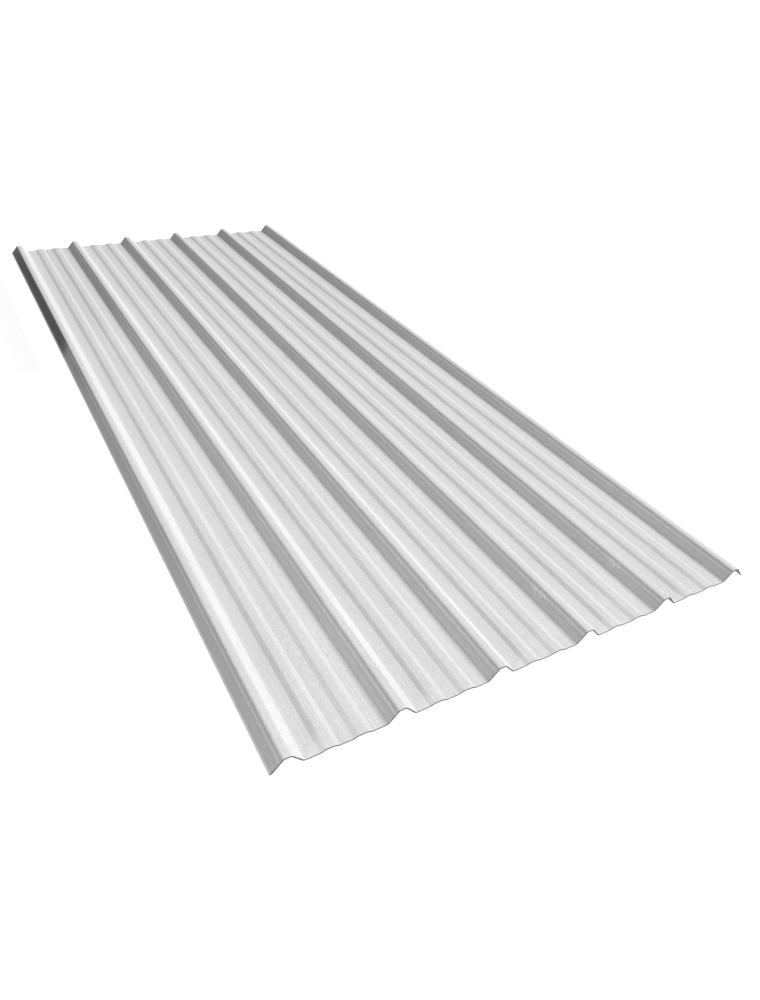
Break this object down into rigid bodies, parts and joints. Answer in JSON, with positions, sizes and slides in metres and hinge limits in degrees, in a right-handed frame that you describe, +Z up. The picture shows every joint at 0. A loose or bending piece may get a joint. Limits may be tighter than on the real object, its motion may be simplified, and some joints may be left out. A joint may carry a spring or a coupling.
{
  "type": "corrugated roofing sheet",
  "caption": "Long flat-lying sheet of light grey uPVC roofing with tall lengthwise ribs, flat pans between them and low stiffening swages in the pans.",
  "frame": {"origin": "middle of the sheet in plan, level with the underside of the pans, which is the level it lies on", "axes": "+Y along the ribs, +X across the sheet, +Z up out of the weather side where the ribs rise"},
  "size_m": [1.06, 2.5, 0.025],
  "materials": {
    "upvc": "satin"
  },
  "bodies": {
    "root": {"roofing_sheet": "upvc"}
  },
  "joints": []
}
